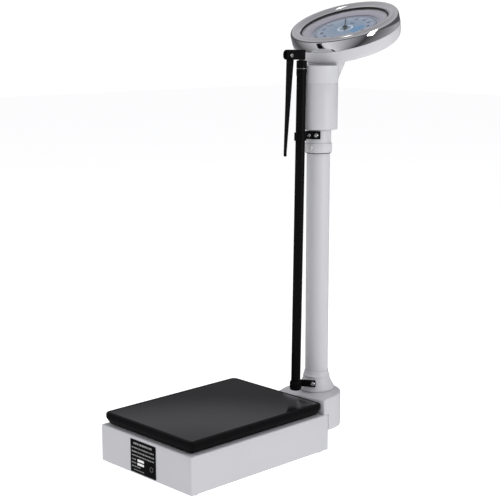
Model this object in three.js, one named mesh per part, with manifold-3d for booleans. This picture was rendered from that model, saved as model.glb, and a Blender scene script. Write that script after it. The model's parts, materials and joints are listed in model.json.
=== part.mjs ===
// Dial column scale for people: a low weighing platform, a column with a tilted round dial head,
// and a telescopic height rod with a folding measuring arm.
// Millimetres, +Z up. Inside the model X = 0 is the middle of the base, Y = 0 its front face and
// Z = 0 the lower edge of its housing; the finished group is moved so that the origin lies on the
// floor under the middle of the whole scale.
import * as THREE from "three";
import { mergeVertices } from "three/addons/utils/BufferGeometryUtils.js";
import Module from "manifold-3d";

const wasm = await Module();
wasm.setup();

// ---------------------------------------------------------------- driving dimensions
const GAP = 0.3;                       // air kept between neighbours that rest on each other
const DEG = Math.PI / 180;

const BASE = { width: 288, depth: 394, height: 79, sheet: 2, corner: 2 };
const FOOT = { radius: 11, drop: 4, x: 127, frontY: 19, rearY: 375 };
const PLATFORM = { width: 281, depth: 377.5, frontY: 3.2, top: 105.8, bottom: 81.2, corner: 14 };
const NAMEPLATE = { x: -4.5, z: 38, width: 81, height: 70, thickness: 0.8 };

const RISER = { x: 72, radius: 72, frontY: 381.5, centreY: 404.3, bottom: 43.5, top: 116, round: 2 };
const SHOULDER = { leftX: 20, leftFall: 0.55, frontY: 394, frontFall: 0.33, soft: 4 };
const COLUMN = { x: 72, y: 431.6, radius: 25, inner: 23, bottom: 116.3, top: 788 };
const COLLAR = { bottom: 640, step: 660, top: 688.5, lower: 29, upper: 27.2, bore: 25.3 };

const HEAD_TURN = 7.1 * DEG;           // the head is turned a little on the column
const SLEEVE = { bottom: 689.5, top: 824, lowerRadius: 40.4, upperRadius: 41.8, bore: 38 };
const DIAL = { reach: 90.6, height: 912.3, tilt: 21.2 * DEG };
const NEEDLE_REST = -32 * DEG;         // direction of the pointer at no load, from the dial's top

const ROD = { x: 72, y: 365.6, z: 124.4, lean: 1.051 * DEG };
const ARM = { thickness: 5, eye: 8, hole: 3 };
const PIVOT = { forward: 37.7, height: 720.9 };      // arm pivot, in the rod's own frame

// lever works: arms in mm, all moving in step with the platform
const LEVER = { fulcrumFront: 30, fulcrumRear: 350, arm: 60, longZ: 40, shortZ: 54, pin: 4 };
const POSTS = [
  { name: "platform_post_front_left", x: -76, y: LEVER.fulcrumFront + LEVER.arm, z: LEVER.longZ },
  { name: "platform_post_front_right", x: 76, y: LEVER.fulcrumFront + LEVER.arm, z: LEVER.longZ },
  { name: "platform_post_rear_left", x: -62, y: LEVER.fulcrumRear - LEVER.arm, z: LEVER.shortZ },
  { name: "platform_post_rear_right", x: 62, y: LEVER.fulcrumRear - LEVER.arm, z: LEVER.shortZ },
];
const FRAME_TOP = 98.5;
const PULL = 12;                       // travel of the draw rod over the full range
const CRANK = { y: 22, z: 806, pull: 22, push: 46.6, lead: 18 * DEG };
const CRANK_HALF = Math.asin(PULL / (2 * CRANK.pull));
const PINION_RADIUS = 4.36;

// facets of the dial head, of the column and of the small pieces
const DIAL_FACETS = 40;
const ROUND = 32;
const SMALL = 12;

// ---------------------------------------------------------------- materials
const material = (color, roughness, metalness, extra = {}) =>
  new THREE.MeshStandardMaterial({ color, roughness, metalness, ...extra });
const PAINT = material(0xd3d3d6, 0.42, 0.1);
const BLACK_GLOSS = material(0x17171b, 0.18, 0.0);
const BLACK_SATIN = material(0x101012, 0.4, 0.0);
const CHROME = material(0xd8d8da, 0.08, 1.0);
const STEEL = material(0x9a9ca0, 0.35, 0.9);
const IRON = material(0x4b4d50, 0.6, 0.6);
const RUBBER = material(0x0d0d0d, 0.85, 0.0);
const GLASS = material(0xe8eef0, 0.05, 0.0, { transparent: true, opacity: 0.25 });
const DIAL_BLUE = material(0xa9c3dd, 0.6, 0.0);
const DIAL_GREY = material(0xb9b6be, 0.5, 0.0);
const BRASS = material(0xb79a4d, 0.35, 0.9);

// ---------------------------------------------------------------- solids and meshes
function toSolid(geometry) {
  const bare = geometry.clone();
  bare.deleteAttribute("normal");
  bare.deleteAttribute("uv");
  const merged = mergeVertices(bare, 1e-4);
  return new wasm.Manifold(new wasm.Mesh({
    numProp: 3,
    vertProperties: new Float32Array(merged.attributes.position.array),
    triVerts: new Uint32Array(merged.index.array),
  }));
}

function toGeometry(solid) {
  const { vertProperties, triVerts } = solid.getMesh();
  const geometry = new THREE.BufferGeometry();
  geometry.setAttribute("position", new THREE.BufferAttribute(new Float32Array(vertProperties), 3));
  geometry.setIndex(new THREE.BufferAttribute(new Uint32Array(triVerts), 1));
  geometry.computeVertexNormals();
  return geometry;
}

const join = (...solids) => solids.reduce((a, b) => a.add(b));
const cut = (body, ...tools) => tools.reduce((a, b) => a.subtract(b), body);

function mesh(name, shape, colour) {
  const geometry = shape.isBufferGeometry ? toGeometry(toSolid(shape)) : toGeometry(shape);
  const piece = new THREE.Mesh(geometry, colour);
  piece.name = name;
  return piece;
}

const box = (x0, x1, y0, y1, z0, z1) =>
  toSolid(new THREE.BoxGeometry(x1 - x0, y1 - y0, z1 - z0)
    .translate((x0 + x1) / 2, (y0 + y1) / 2, (z0 + z1) / 2));

// upright cylinder or cone from z0 to z1
const rod = (x, y, z0, z1, radius, facets = SMALL, topRadius = radius) =>
  toSolid(new THREE.CylinderGeometry(topRadius, radius, z1 - z0, facets)
    .rotateX(Math.PI / 2).translate(x, y, (z0 + z1) / 2));

// cylinder along X from x0 to x1
const pin = (x0, x1, y, z, radius, facets = SMALL) =>
  toSolid(new THREE.CylinderGeometry(radius, radius, x1 - x0, facets)
    .rotateZ(Math.PI / 2).translate((x0 + x1) / 2, y, z));

// body of revolution about Z; the profile is a closed list of [radius, height]
function lathe(profile, facets = ROUND) {
  const points = profile.map(([r, z]) => new THREE.Vector2(r, z));
  const onAxis = profile[0][0] === 0 && profile[profile.length - 1][0] === 0;
  if (!onAxis) points.push(points[0].clone());
  if (THREE.ShapeUtils.area(points) < 0) points.reverse();
  return toSolid(new THREE.LatheGeometry(points, facets).rotateX(Math.PI / 2));
}

function place(solid, matrix) {
  return toSolid(toGeometry(solid).applyMatrix4(matrix));
}

function roundedRect(width, depth, radius) {
  const x = width / 2 - radius;
  const y = depth / 2 - radius;
  const shape = new THREE.Shape();
  shape.absarc(x, -y, radius, -Math.PI / 2, 0);
  shape.absarc(x, y, radius, 0, Math.PI / 2);
  shape.absarc(-x, y, radius, Math.PI / 2, Math.PI);
  shape.absarc(-x, -y, radius, Math.PI, 1.5 * Math.PI);
  return shape;
}

function extrude(shape, z0, z1, curveSegments = 6) {
  const geometry = new THREE.ExtrudeGeometry(shape, { depth: z1 - z0, bevelEnabled: false, curveSegments });
  return toSolid(geometry.translate(0, 0, z0));
}

// solid through a stack of outlines with the same number of points, closed by flat ends
function loft(rings) {
  const count = rings[0].length;
  const positions = rings.flat().flatMap((p) => [p.x, p.y, p.z]);
  const index = [];
  for (let level = 0; level + 1 < rings.length; level += 1) {
    for (let i = 0; i < count; i += 1) {
      const a = level * count + i;
      const b = level * count + ((i + 1) % count);
      index.push(a, b, b + count, a, b + count, a + count);
    }
  }
  const top = (rings.length - 1) * count;
  for (let i = 1; i + 1 < count; i += 1) {
    index.push(0, i + 1, i);
    index.push(top, top + i, top + i + 1);
  }
  const geometry = new THREE.BufferGeometry();
  geometry.setAttribute("position", new THREE.Float32BufferAttribute(positions, 3));
  geometry.setIndex(index);
  return toSolid(geometry);
}

// the corner points of a rounded rectangle, anticlockwise
function cornerPoints(width, depth, radius, steps = 5) {
  const points = [];
  for (const [sx, sy, start] of [[1, -1, -90], [1, 1, 0], [-1, 1, 90], [-1, -1, 180]]) {
    for (let i = 0; i <= steps; i += 1) {
      const angle = (start + (90 * i) / steps) * DEG;
      points.push([
        sx * (width / 2 - radius) + radius * Math.cos(angle),
        sy * (depth / 2 - radius) + radius * Math.sin(angle),
      ]);
    }
  }
  return points;
}

// a slab outline at height z, pulled in by inset on every side
const slabRing = ({ width, depth, corner }, centreY, inset, z) =>
  cornerPoints(width - 2 * inset, depth - 2 * inset, Math.max(corner - inset, 1))
    .map(([x, y]) => new THREE.Vector3(x, y + centreY, z));

// ---------------------------------------------------------------- base
function baseShell() {
  const middle = BASE.depth / 2;
  const ring = (inset, z) => slabRing(BASE, middle, inset, z);
  const outer = loft([ring(0, 0), ring(0, 76), ring(0.8, 78), ring(2.6, BASE.height)]);
  const hollow = box(-142, 142, 2, BASE.depth - 2, BASE.sheet - 0.4, BASE.height - BASE.sheet);
  const mouth = box(-122, 122, 22, BASE.depth - 22, -1, 10);
  const postHoles = POSTS.map(({ x, y }) => rod(x, y, 70, 90, 9));
  const noseSlot = box(COLUMN.x - 7, COLUMN.x + 7, 380, 400, 46, 76);
  return mesh("base_shell", cut(outer, hollow, mouth, noseSlot, ...postHoles), PAINT);
}

function foot(name, x, y) {
  const profile = [[0, -FOOT.drop], [FOOT.radius - 1, -FOOT.drop], [FOOT.radius, -FOOT.drop + 1],
    [FOOT.radius, -GAP], [0, -GAP]];
  const piece = mesh(name, lathe(profile, 16), RUBBER);
  piece.position.set(x, y, 0);
  return piece;
}

function nameplate() {
  const outline = roundedRect(NAMEPLATE.width, NAMEPLATE.height, 1.5);
  const upright = new THREE.Matrix4().makeRotationX(Math.PI / 2);
  const plate = place(extrude(outline, 0, NAMEPLATE.thickness, 3), upright);
  const piece = mesh("nameplate", plate, BLACK_SATIN);
  piece.position.set(NAMEPLATE.x, -GAP, NAMEPLATE.z);
  return piece;
}

// cross beam on the side flanges with two notched uprights that carry a lever's fulcrum pins
function fulcrumBeam(name, y, pinX, pinZ) {
  const bottom = BASE.sheet - 0.4 + GAP;
  const beam = box(-140, 140, y - 6, y + 6, bottom, bottom + 12);
  const uprights = [-pinX, pinX]
    .map((x) => box(x - 3.5, x + 3.5, y - 7, y + 7, bottom + 2, pinZ + 6));
  const seats = [-pinX, pinX].map((x) => join(
    pin(x - 5, x + 5, y, pinZ, LEVER.pin + 0.3, 12),
    box(x - 5, x + 5, y - LEVER.pin - 0.3, y + LEVER.pin + 0.3, pinZ, pinZ + 9),
  ));
  return mesh(name, cut(join(beam, ...uprights), ...seats), IRON);
}

// ---------------------------------------------------------------- platform
const treadRing = (inset, z) =>
  slabRing(PLATFORM, PLATFORM.frontY + PLATFORM.depth / 2, inset, z);

function platformCover() {
  const { top, bottom } = PLATFORM;
  const outer = loft([treadRing(9, bottom), treadRing(8.4, 82.4), treadRing(4.2, 88), treadRing(0.6, 94.6),
    treadRing(0, 96), treadRing(0, 102.4), treadRing(1, 104.7), treadRing(3, top)]);
  const hollow = loft([treadRing(12, 79), treadRing(11.4, 82.6), treadRing(7.2, 88.4), treadRing(4, 95),
    treadRing(3.6, FRAME_TOP + GAP)]);
  const recess = loft([treadRing(8, top - 0.8), treadRing(8, top + 2)]);
  return mesh("platform_cover", cut(outer, hollow, recess), BLACK_GLOSS);
}

function platformMat() {
  const bottom = PLATFORM.top - 0.8 + GAP;
  const slab = loft([treadRing(8.4, bottom), treadRing(8.4, bottom + 0.5), treadRing(9, bottom + 0.8)]);
  return mesh("platform_mat", slab, BLACK_GLOSS);
}

// ladder of two rails and three rungs under the cover
function platformFrame() {
  const bottom = 84;
  const rails = [-76, 76].map((x) => box(x - 12, x + 12, 22, 362, bottom, FRAME_TOP));
  const rungs = [36, LEVER.fulcrumRear - LEVER.arm, 348]
    .map((y) => box(-112, 112, y - 12, y + 12, bottom, FRAME_TOP));
  return mesh("platform_frame", join(...rails, ...rungs), IRON);
}

// post with an inverted notch that sits on a lever's load pin
function platformPost({ name, x, y, z }) {
  const column = rod(x, y, z - 3, 84 - GAP, 7.5, 24);
  const notch = join(
    pin(x - 9, x + 9, y, z, LEVER.pin + 0.3, 12),
    box(x - 9, x + 9, y - LEVER.pin - 0.3, y + LEVER.pin + 0.3, z - 8, z),
  );
  return mesh(name, cut(column, notch), STEEL);
}

// ---------------------------------------------------------------- levers
// pins of both sides of a lever, from x0 to x1 on the right and mirrored on the left
const pinPair = (x0, x1, y, z) =>
  [pin(x0, x1, y, z, LEVER.pin, 12), pin(-x1, -x0, y, z, LEVER.pin, 12)];

function longLever() {
  const z0 = LEVER.longZ - 7;
  const z1 = LEVER.longZ + 7;
  const y0 = LEVER.fulcrumFront;
  const meet = (LEVER.fulcrumFront + LEVER.fulcrumRear) / 2;
  const bars = [-92, 92].map((x) => box(x - 4, x + 4, y0 - 9, 300, z0, z1));
  const cross = [meet, 296].map((y) => box(-90, 90, y - 4, y + 4, z0, z1));
  const pins = [...pinPair(90, 110, y0, LEVER.longZ), ...pinPair(66, 90, y0 + LEVER.arm, LEVER.longZ)];
  return mesh("long_lever", join(...bars, ...cross, ...pins), IRON);
}

// arm that carries the long lever's pull back under the column
function noseArm() {
  const x = COLUMN.x;
  const foot = box(x - 3, x + 3, 300 + GAP, 312, 33, 74);
  const bar = box(x - 3, x + 3, 306, COLUMN.y, 64, 74);
  const eye = rod(x, COLUMN.y, 64, 74, 9, 24);
  return mesh("nose_arm", cut(join(foot, bar, eye), rod(x, COLUMN.y, 60, 80, 4.2, 24)), IRON);
}

function shortLever() {
  const z0 = LEVER.shortZ - 5;
  const z1 = LEVER.shortZ + 5;
  const y1 = LEVER.fulcrumRear;
  const meet = (LEVER.fulcrumFront + LEVER.fulcrumRear) / 2;
  const bars = [-1, 1].map((s) => box(s * 48 - 4, s * 48 + 4, meet - 5, y1 + 9, z0, z1));
  const cross = box(-50, 50, meet - 5, meet + 5, z0, z1);
  const pad = box(-8, 8, meet - 3, meet + 3, LEVER.longZ + 7.5, z0 + 1);
  const pins = [y1, y1 - LEVER.arm].flatMap((y) => pinPair(50, 66, y, LEVER.shortZ));
  return mesh("short_lever", join(...bars, cross, pad, ...pins), IRON);
}

// ---------------------------------------------------------------- riser and column
// D-shaped outline: flat front, half-round back
function riserRing(inset, z) {
  const { x, radius, frontY, centreY } = RISER;
  const reach = radius - inset;
  const corner = Math.max(4 - inset, 0.8);
  const front = frontY + inset + corner;
  const points = [];
  for (const [side, start] of [[-1, 180], [1, 270]]) {
    for (let i = 0; i <= 3; i += 1) {
      const angle = (start + 30 * i) * DEG;
      const middle = x + side * (reach - corner);
      points.push([middle + corner * Math.cos(angle), front + corner * Math.sin(angle)]);
    }
  }
  for (let i = 0; i <= 20; i += 1) {
    const angle = (Math.PI * i) / 20;
    points.push([x + reach * Math.cos(angle), centreY + reach * Math.sin(angle)]);
  }
  return points.map(([px, py]) => new THREE.Vector3(px, py, z));
}

// 0 below -soft, t above +soft, a smooth bend between
function bend(t, soft) {
  if (t <= -soft) return 0;
  if (t >= soft) return t;
  return (t + soft) ** 2 / (4 * soft);
}

// how far the top of the riser falls away towards its left end and its front
function shoulderFall({ x, y }) {
  const { leftX, leftFall, frontY, frontFall, soft } = SHOULDER;
  return leftFall * bend(leftX - x, soft) + frontFall * bend(frontY - y, soft);
}

// outline of the riser's top skin: inset from the side wall, sunk below the surface
const topRing = (inset, sunk) => riserRing(inset, RISER.top)
  .map((p) => new THREE.Vector3(p.x, p.y, p.z - sunk - shoulderFall(p)));

function riserHousing() {
  const { round, bottom, top } = RISER;
  const outer = loft([riserRing(0, bottom), topRing(0, round), topRing(0.6, 0.6), topRing(round, 0),
    topRing(8, 0), topRing(14, 0), riserRing(20, top)]);
  const inner = loft([riserRing(2, bottom + 2), topRing(2, 2.8), topRing(3.2, 2), topRing(8, 2),
    topRing(14, 2), riserRing(20, top - 2)]);
  const overBase = box(-1, 145, 375, BASE.depth + GAP, 0, BASE.height + GAP);
  const overBaseWall = box(-1, 145, 375, BASE.depth + GAP + 2, 0, BASE.height + GAP + 2);
  const noseSlot = box(COLUMN.x - 7, COLUMN.x + 7, 390, 400, 46, 76);
  const rodHole = rod(COLUMN.x, COLUMN.y, 110, 120, 20, 24);
  const room = cut(inner, overBaseWall);
  return mesh("riser_housing", cut(outer, overBase, room, noseSlot, rodHole), PAINT);
}

function onColumn(piece) {
  piece.position.set(COLUMN.x, COLUMN.y, 0);
  return piece;
}

function columnFoot() {
  const profile = [[25.3, 116.3], [39.2, 116.3], [39.8, 117], [39.8, 120], [38.2, 123.5], [34.8, 129.5],
    [31.2, 137], [29, 144], [27.6, 151], [26.2, 158], [25.3, 158]];
  return onColumn(mesh("column_foot", lathe(profile), PAINT));
}

function columnTube() {
  const { bottom, top, radius, inner } = COLUMN;
  const profile = [[inner, bottom], [radius, bottom], [radius, top], [inner, top]];
  return onColumn(mesh("column_tube", lathe(profile), PAINT));
}

function columnCollar() {
  const { bottom, step, top, lower, upper, bore } = COLLAR;
  const profile = [[bore, bottom], [lower - 0.6, bottom], [lower, bottom + 0.8], [lower, step - 0.8],
    [lower - 0.6, step], [upper, step], [upper, top], [bore, top]];
  return onColumn(mesh("column_collar", lathe(profile), PAINT));
}

// round screw head with a socket, its axis along +Z, standing on z = 0
function screwHead(radius, height, socket) {
  const profile = [[0, 0], [radius, 0], [radius, height - 0.6], [radius - 0.6, height],
    [socket, height], [socket, height / 2], [0, height / 2]];
  return lathe(profile, SMALL);
}

// turns a piece built along +Z so that it points outwards along the compass angle given
const outward = (azimuth, reach, z) =>
  new THREE.Matrix4().makeTranslation(COLUMN.x, COLUMN.y, z)
    .multiply(new THREE.Matrix4().makeRotationZ(azimuth))
    .multiply(new THREE.Matrix4().makeTranslation(reach, 0, 0))
    .multiply(new THREE.Matrix4().makeRotationY(Math.PI / 2));

function collarScrew() {
  const azimuth = -Math.PI / 2 + HEAD_TURN;
  const seat = outward(azimuth, COLLAR.lower + GAP, 651.5);
  return mesh("collar_screw", place(screwHead(6, 3, 3.4), seat), STEEL);
}

// ---------------------------------------------------------------- head
// frame of the head: origin on the column axis at floor level, +Y towards the back of the dial
const headMatrix = new THREE.Matrix4().makeTranslation(COLUMN.x, COLUMN.y, 0)
  .multiply(new THREE.Matrix4().makeRotationZ(HEAD_TURN));
// frame of the dial inside the head: +Z out through the glass, +Y up the dial
const dialInHead = new THREE.Matrix4().makeTranslation(0, DIAL.reach, DIAL.height)
  .multiply(new THREE.Matrix4().makeRotationX(DIAL.tilt));

// leaning round gusset behind the sleeve
function gusset(radius) {
  const foot = 793.8;
  const top = 860;
  const ring = (z) => Array.from({ length: ROUND }, (_, i) => {
    const angle = (2 * Math.PI * i) / ROUND;
    return new THREE.Vector3(radius * Math.cos(angle), radius * Math.sin(angle) + 0.7 * (z - foot), z);
  });
  return loft([ring(foot), ring(top)]);
}

// the dial pan as a solid tool, grown on every side, used to trim what stands under it
function panTool(grow) {
  const pan = [[105.2, -50.8], [111.4, -49.4], [114.6, -46.8], [116.4, -43.3], [118.4, -34], [119.7, -21]];
  const side = pan.map(([r, h]) => [r + grow, h - grow]);
  const low = side[0][1];
  return place(lathe([[0, low], ...side, [119.7 + grow, 60], [0, 60]], DIAL_FACETS), dialInHead);
}

// space right under the pan, down to the sleeve
const underPan = (radius) =>
  place(lathe([[0, -240], [radius, -240], [radius, -20], [0, -20]], DIAL_FACETS), dialInHead);

function headSleeve() {
  const { bottom, top, lowerRadius, upperRadius, bore } = SLEEVE;
  const wall = lathe([[0, bottom], [lowerRadius, bottom], [upperRadius, top], [0, top]]);
  const hollow = lathe([[0, bottom + 3], [bore, bottom + 3], [bore, top - 3], [0, top - 3]]);
  const outerGusset = cut(gusset(40.6).intersect(underPan(112.9)), panTool(0));
  const innerGusset = cut(gusset(38.1).intersect(underPan(110.3)), panTool(2.6));
  const slot = box(-4, 4, 9, 33, 815, 850);
  const neck = rod(0, 0, bottom - 1, bottom + 5, COLLAR.bore, ROUND);
  const body = cut(join(wall, outerGusset), hollow, innerGusset, slot, neck);
  return mesh("head_sleeve", body, PAINT);
}

function crankPin() {
  return mesh("crank_pin", pin(-30.3, 30.3, CRANK.y, CRANK.z, 2.5, 16), STEEL);
}

function headHousing() {
  const profile = [[0, -50.5], [105, -50.5], [111, -49], [114.2, -46.5], [116, -43], [118, -34], [119, -20.8],
    [117.2, -20.8], [117.2, -6], [114.8, -6], [114.8, -22], [115.5, -34], [113.4, -42.5], [109.5, -46.6],
    [104.5, -48], [0, -48]];
  const slot = box(-4, 4, -107, -80, -52, -46);
  return mesh("head_housing", cut(lathe(profile, DIAL_FACETS), slot), PAINT);
}

function bezelRing() {
  const profile = [[95.5, -0.5], [95.5, 0.4], [98, 3.4], [102.5, 6.2], [107.5, 7.4], [112.5, 6.8],
    [116.3, 4.4], [118.6, 0.6], [119.3, -4], [119.3, -20.5], [117.6, -20.5], [117.6, -3.5], [113.6, 3],
    [107.3, 5], [101.5, 3], [98.8, -0.5]];
  return mesh("bezel_ring", lathe(profile, DIAL_FACETS), CHROME);
}

const ring = (name, profile, colour) => mesh(name, lathe(profile, DIAL_FACETS), colour);
const glassGasket = () =>
  ring("glass_gasket", [[93.8, -2.3], [104, -2.3], [104, -0.9], [93.8, -0.9]], RUBBER);
const dialGlass = () =>
  ring("dial_glass", [[0, -5.1], [112, -5.1], [112, -2.6], [0, -2.6]], GLASS);
const dialSurround = () =>
  ring("dial_surround", [[73, -9.6], [94, -5.4], [114.5, -5.4], [114.5, -7.4], [94.4, -7.4], [73, -11.6]],
    DIAL_GREY);
const dialPlate = () =>
  ring("dial_plate", [[4, -13.4], [78, -13.4], [78, -12.2], [4, -12.2]], DIAL_BLUE);

// two plates on four pillars that carry the pointer arbor
function movementFrame() {
  const plates = [[-40, -38], [-26, -24]].map(([h0, h1]) => box(-24, 24, -26, 26, h0, h1));
  const corners = [[-19, -21], [-19, 21], [19, -21], [19, 21]];
  const pillars = corners.map(([x, v]) => rod(x, v, -48 + GAP, -13.7, 2.6, 8));
  const bore = rod(0, 0, -45, -20, 2.9, 16);
  return mesh("movement_frame", cut(join(...plates, ...pillars), bore), BRASS);
}

function rack() {
  const bar = box(PINION_RADIUS + GAP, 9, -72, 30, -34.5, -29.5);
  const tab = box(PINION_RADIUS + GAP, 8, -82, -70, -39.6, -23.6);
  const slot = box(0, 12, -76.4 - 2.3, -76.4 + 2.3, -38, -25.2);
  return mesh("rack", cut(join(bar, tab), slot), BRASS);
}

function pointerArbor() {
  const drum = rod(0, 0, -36.5, -27.5, PINION_RADIUS, 16);
  return mesh("pointer_arbor", join(rod(0, 0, -39.7, -9.3, 2.4, 12), drum), BRASS);
}

function pointerNeedle() {
  const corners = [[-1.6, -16], [1.6, -16], [1.9, 0], [1.1, 56], [0, 61], [-1.1, 56], [-1.9, 0]];
  const outline = new THREE.Shape(corners.map(([x, y]) => new THREE.Vector2(x, y)));
  const blade = join(extrude(outline, -9, -8.2), rod(0, 0, -9, -8.2, 6, 24));
  return mesh("pointer_needle", blade, BLACK_SATIN);
}

function pointerCap() {
  const profile = [[0, -7.9], [4.4, -7.9], [4, -6.7], [2.6, -6.2], [0, -6.2]];
  return mesh("pointer_cap", lathe(profile, 24), BLACK_SATIN);
}

// ---------------------------------------------------------------- draw rod and crank
function drawRod() {
  const stem = rod(0, 0, 60.2, 793, 2.5, 12);
  const nut = rod(0, 0, 60.5, 64 - GAP, 7, 6);
  const tab = box(1.8, 4.6, -5, 5, 785, 818);
  const eye = pin(0, 6, 0.4, CRANK.z + PULL / 2, 2.4, 16);
  return mesh("draw_rod", cut(join(stem, nut, tab), eye), STEEL);
}

// bell crank between the draw rod and the rack, built about its pivot at mid travel
function crank() {
  const towardRack = new THREE.Vector2(0, CRANK.push)
    .rotateAround(new THREE.Vector2(), DIAL.tilt - CRANK.lead);
  const towardRod = new THREE.Vector2(-CRANK.pull, 0);
  const bars = [towardRack, towardRod].map((end) => {
    const bar = toSolid(new THREE.BoxGeometry(3, end.length(), 7)
      .translate(0, end.length() / 2, 0).rotateX(Math.atan2(end.y, end.x)));
    return join(bar, pin(-1.5, 1.5, end.x, end.y, 3.5, 10));
  });
  const hub = pin(-3, 3, 0, 0, 6, 16);
  const rackPin = pin(1, 8.4, towardRack.x, towardRack.y, 1.5, 8);
  const rodPin = pin(1, 5.6, towardRod.x, towardRod.y, 1.5, 8);
  const bore = pin(-5, 5, 0, 0, 2.8, 16);
  const piece = mesh("crank", cut(join(...bars, hub, rackPin, rodPin), bore), STEEL);
  piece.rotation.x = -CRANK_HALF;
  piece.position.set(0, CRANK.y, CRANK.z);
  return piece;
}

// ---------------------------------------------------------------- height rod
const rodMatrix = new THREE.Matrix4().makeTranslation(ROD.x, ROD.y, ROD.z)
  .multiply(new THREE.Matrix4().makeRotationX(-ROD.lean));

// bracket frame: +X outwards from the column, -Y along the bracket towards the rod
const bracketMatrix = (azimuth) => new THREE.Matrix4().makeTranslation(COLUMN.x, COLUMN.y, 0)
  .multiply(new THREE.Matrix4().makeRotationZ(azimuth));
const SOCKET_ANGLE = -57.3 * DEG;
const CLAMP_ANGLE = -56 * DEG;

function rodSocket() {
  const cup = lathe([[0, 0], [8.5, 0], [11.6, 1.2], [12.9, 4.5], [12.9, 17.5], [12, 20], [10.5, 20],
    [10.5, 4], [0, 4]], 24);
  const plate = box(37, 40.5, -41, 5.5, 128.3, 143.5);
  const bridge = box(38, 47, -42, -30, 128.3, 143.5);
  const slot = box(30, 45, -7.2, 2.5, 133.2, 138.6);
  const lug = place(cut(join(plate, bridge), slot), bracketMatrix(SOCKET_ANGLE));
  const bore = place(rod(0, 0, 4, 40, 10.5, 24), rodMatrix);
  return mesh("rod_socket", cut(join(place(cup, rodMatrix), lug), bore), BLACK_SATIN);
}

function bracketScrew(name, azimuth, reach, along, z, radius, shank) {
  const head = join(screwHead(radius, 2.4, radius * 0.45), rod(0, 0, -shank, 0.5, 2, 12));
  const matrix = bracketMatrix(azimuth).multiply(new THREE.Matrix4().makeTranslation(reach, -along, z))
    .multiply(new THREE.Matrix4().makeRotationY(Math.PI / 2));
  return mesh(name, place(head, matrix), STEEL);
}

function rodClamp() {
  const z0 = 668 - ROD.z;
  const band = lathe([[10.5, z0], [13, z0], [13, z0 + 17], [10.5, z0 + 17]], 24);
  const plate = box(27.5, 30.5, -36, 8.8, 670, 687);
  const bridge = box(29, 37, -38, -24, 670, 685);
  const outwards = new THREE.Matrix4().makeRotationY(Math.PI / 2);
  const holes = [0, -15.3].map((y) =>
    place(rod(0, 0, 20, 40, 2.3, 12), new THREE.Matrix4().makeTranslation(0, y, 678).multiply(outwards)));
  const lug = place(cut(join(plate, bridge), ...holes), bracketMatrix(CLAMP_ANGLE));
  const bore = place(rod(0, 0, z0 - 5, z0 + 30, 10.5, 24), rodMatrix);
  return mesh("rod_clamp", cut(join(place(band, rodMatrix), lug), bore), BLACK_SATIN);
}

const tube = (name, z0, z1, outer, inner) =>
  mesh(name, lathe([[inner, z0], [outer, z0], [outer, z1], [inner, z1]], 24), BLACK_SATIN);
const rodOuterTube = () => tube("rod_outer_tube", 4.3, 690, 10.2, 8.7);
const rodMiddleTube = () => tube("rod_middle_tube", 30, 700, 8.3, 6.8);
const rodInnerTube = () => tube("rod_inner_tube", 50, 712, 6.4, 5);

const rodRing = (name, profile, colour) => mesh(name, lathe(profile, 24), colour);
const rodOuterCollar = () =>
  rodRing("rod_outer_collar", [[10.5, 678.7], [10.7, 678.7], [11.1, 682], [11.1, 692.6], [10.7, 693.4],
    [8.6, 693.4], [8.6, 690.3], [10.5, 690.3]], BLACK_SATIN);
const rodWasher = () =>
  rodRing("rod_washer", [[8.6, 693.7], [11, 693.7], [11, 694.6], [8.6, 694.6]], CHROME);
const rodMiddleCollar = () =>
  rodRing("rod_middle_collar", [[8.6, 694.9], [10.8, 694.9], [11.1, 695.6], [11.1, 709.6], [10.4, 710.8],
    [6.7, 710.8], [6.7, 700.3], [8.6, 700.3]], BLACK_SATIN);

// stands an outline drawn in (Y, Z) upright, its thickness along X
const sideways = new THREE.Matrix4()
  .makeBasis(new THREE.Vector3(0, 1, 0), new THREE.Vector3(0, 0, 1), new THREE.Vector3(1, 0, 0));

function hingeBlock() {
  const base = 712.3;
  const top = 733;
  const front = -PIVOT.forward - 11;
  const outline = new THREE.Shape();
  outline.moveTo(0, base);
  outline.lineTo(0, top);
  outline.absarc(front + 9.5, top - 9.5, 9.5, Math.PI / 2, Math.PI);
  outline.absarc(front + 8, base + 8, 8, Math.PI, 1.5 * Math.PI);
  const block = place(extrude(outline, -7, 7, 4), sideways);
  const round = rod(0, 0, base, top, 7.5, 24);
  const slot = box(-2.9, 2.9, front - 1, -PIVOT.forward + 13, base - 1, top + 1);
  const bore = pin(-10, 10, -PIVOT.forward, PIVOT.height, 2.9, 20);
  return mesh("hinge_block", cut(join(block, round), slot, bore), BLACK_SATIN);
}

function pivotPin() {
  const { forward, height } = PIVOT;
  const shank = pin(-7.2, 7.5, -forward, height, 2.6, 16);
  const head = pin(7.3, 8.3, -forward, height, 4, 16);
  return mesh("pivot_pin", join(shank, head), STEEL);
}

// folding arm, hanging from the pivot
function measuringArm() {
  const corners = [[-8.2, -199], [-9, -206], [-11, -208.6], [-13, -206], [-13.2, -199], [-8.6, -93],
    [-6, -9], [-8, 0], [-5.6, 5.6], [0, 8], [6, 5.6], [8.6, 1], [11.6, -9], [3, -93]];
  const outline = new THREE.Shape(corners.reverse().map(([y, z]) => new THREE.Vector2(y, z)));
  const flat = extrude(outline, -ARM.thickness / 2, ARM.thickness / 2);
  const hole = pin(-5, 5, 0, 0, ARM.hole, 20);
  const piece = mesh("measuring_arm", cut(place(flat, sideways), hole), BLACK_SATIN);
  piece.position.set(0, -PIVOT.forward, PIVOT.height).applyMatrix4(rodMatrix);
  return piece;
}

// ---------------------------------------------------------------- assembly
function framed(matrix, ...pieces) {
  const group = new THREE.Group();
  group.applyMatrix4(matrix);
  group.add(...pieces);
  return group;
}

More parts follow.
